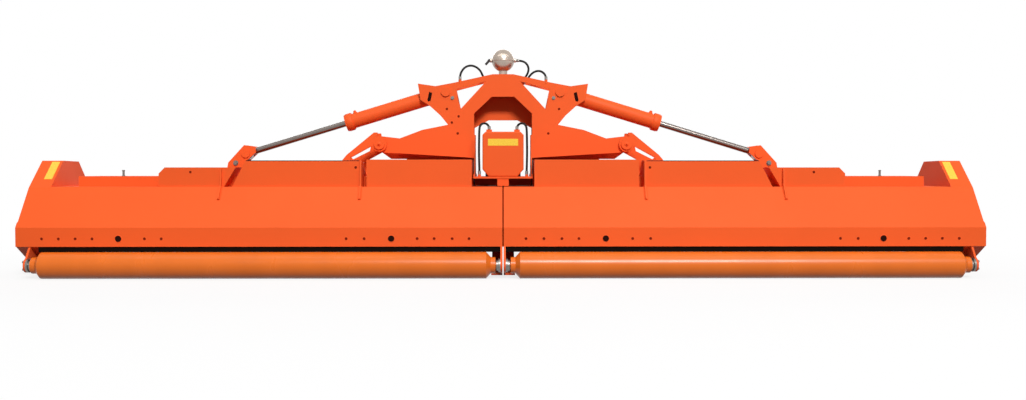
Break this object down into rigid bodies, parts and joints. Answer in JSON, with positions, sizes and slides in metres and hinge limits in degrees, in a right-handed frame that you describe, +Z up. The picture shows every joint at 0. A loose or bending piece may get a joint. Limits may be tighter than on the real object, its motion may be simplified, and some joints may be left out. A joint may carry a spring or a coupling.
{
  "type": "folding tractor mulcher",
  "caption": "Wide tractor mulcher whose two hammer-rotor wings hinge on a centre tower and fold up by cylinders, each with a rear roller.",
  "frame": {"origin": "on the ground, under the centre of the bounding box", "axes": "+X right as seen from behind, +Y forward to the tractor, +Z up"},
  "size_m": [5.88, 1.0848, 1.44],
  "materials": {
    "orange_paint": "gloss enamel, orange-red",
    "roller_paint": "worn gloss enamel, brown-orange",
    "rotor_paint": "black enamel",
    "forged_steel": "dark forged steel",
    "cast_iron": "dark grey casting",
    "bearing_steel": "grey machined steel",
    "chrome_rod": "hard chrome",
    "accumulator_grey": "grey-brown enamel",
    "black_rubber": "smooth black rubber"
  },
  "bodies": {
    "frame": {"tower_rear_plate": "orange_paint", "tower_front_plate": "orange_paint", "tower_ties": "orange_paint", "pivot_pins": "orange_paint", "cradle": "orange_paint", "gearbox": "cast_iron", "gearbox_cover": "orange_paint", "pto_shaft": "bearing_steel", "hitch_beam": "orange_paint", "lower_pins": "bearing_steel", "mast": "orange_paint", "top_link_clevis": "orange_paint", "accumulator": "accumulator_grey", "cylinder_mount_left": "orange_paint", "cylinder_mount_right": "orange_paint", "hose_cover_left": "black_rubber", "hose_cover_right": "black_rubber", "hose_loop_right": "black_rubber", "hose_arch_left": "black_rubber", "hose_arch_right": "black_rubber"},
    "wing_left": {"hood_left": "orange_paint", "belt_guard_left": "orange_paint", "rear_curtain_left": "black_rubber", "end_plates_left": "orange_paint", "skids_left": "orange_paint", "spine_beam_left": "orange_paint", "spine_covers_left": "orange_paint", "hinge_ears_left": "orange_paint", "gussets_left": "orange_paint", "cylinder_ears_left": "orange_paint", "bearings_left": "bearing_steel", "front_flaps_left": "orange_paint"},
    "roller_left": {"roller_left": "roller_paint"},
    "rotor_left": {"rotor_left": "rotor_paint", "hammers_left": "forged_steel"},
    "barrel_left": {"barrel_left": "orange_paint"},
    "rod_left": {"rod_left": "chrome_rod"},
    "wing_right": {"hood_right": "orange_paint", "belt_guard_right": "orange_paint", "rear_curtain_right": "black_rubber", "end_plates_right": "orange_paint", "skids_right": "orange_paint", "spine_beam_right": "orange_paint", "spine_covers_right": "orange_paint", "hinge_ears_right": "orange_paint", "gussets_right": "orange_paint", "cylinder_ears_right": "orange_paint", "bearings_right": "bearing_steel", "front_flaps_right": "orange_paint"},
    "roller_right": {"roller_right": "roller_paint"},
    "rotor_right": {"rotor_right": "rotor_paint", "hammers_right": "forged_steel"},
    "barrel_right": {"barrel_right": "orange_paint"},
    "rod_right": {"rod_right": "chrome_rod"}
  },
  "joints": [
    {"name": "fold_left", "type": "hinge", "parent": "frame", "child": "wing_left", "pos_m": [-0.798, 0.0805, 0.82], "axis": [0, 1, 0], "range_deg": [0, 85]},
    {"name": "roller_spin_left", "type": "hinge", "parent": "wing_left", "child": "roller_left", "pos_m": [-1.4, -0.4625, 0.08], "axis": [1, 0, 0], "continuous": true},
    {"name": "rotor_spin_left", "type": "hinge", "parent": "wing_left", "child": "rotor_left", "pos_m": [-1.4, -0.0025, 0.29], "axis": [1, 0, 0], "continuous": true},
    {"name": "barrel_swing_left", "type": "hinge", "parent": "frame", "child": "barrel_left", "pos_m": [-0.37, 0.0805, 1.157], "axis": [0, 1, 0], "range_deg": [0, 60.22]},
    {"name": "rod_slide_left", "type": "slide", "parent": "barrel_left", "child": "rod_left", "axis": [-0.9564, 0, -0.2921], "range_m": [-0.5884, 0]},
    {"name": "fold_right", "type": "hinge", "parent": "frame", "child": "wing_right", "pos_m": [0.798, 0.0805, 0.82], "axis": [0, -1, 0], "range_deg": [0, 85]},
    {"name": "roller_spin_right", "type": "hinge", "parent": "wing_right", "child": "roller_right", "pos_m": [1.4, -0.4625, 0.08], "axis": [1, 0, 0], "continuous": true},
    {"name": "rotor_spin_right", "type": "hinge", "parent": "wing_right", "child": "rotor_right", "pos_m": [1.4, -0.0025, 0.29], "axis": [1, 0, 0], "continuous": true},
    {"name": "barrel_swing_right", "type": "hinge", "parent": "frame", "child": "barrel_right", "pos_m": [0.37, 0.0805, 1.157], "axis": [0, -1, 0], "range_deg": [0, 60.22]},
    {"name": "rod_slide_right", "type": "slide", "parent": "barrel_right", "child": "rod_right", "axis": [0.9564, 0, -0.2921], "range_m": [-0.5884, 0]}
  ],
  "couplings": [
    {"joint": "barrel_swing_left", "follows": "fold_left", "ratio": 0.70613},
    {"joint": "rod_slide_left", "follows": "fold_left", "m_per_rad": -0.39629},
    {"joint": "barrel_swing_right", "follows": "fold_right", "ratio": 0.70613},
    {"joint": "rod_slide_right", "follows": "fold_right", "m_per_rad": -0.39629}
  ]
}
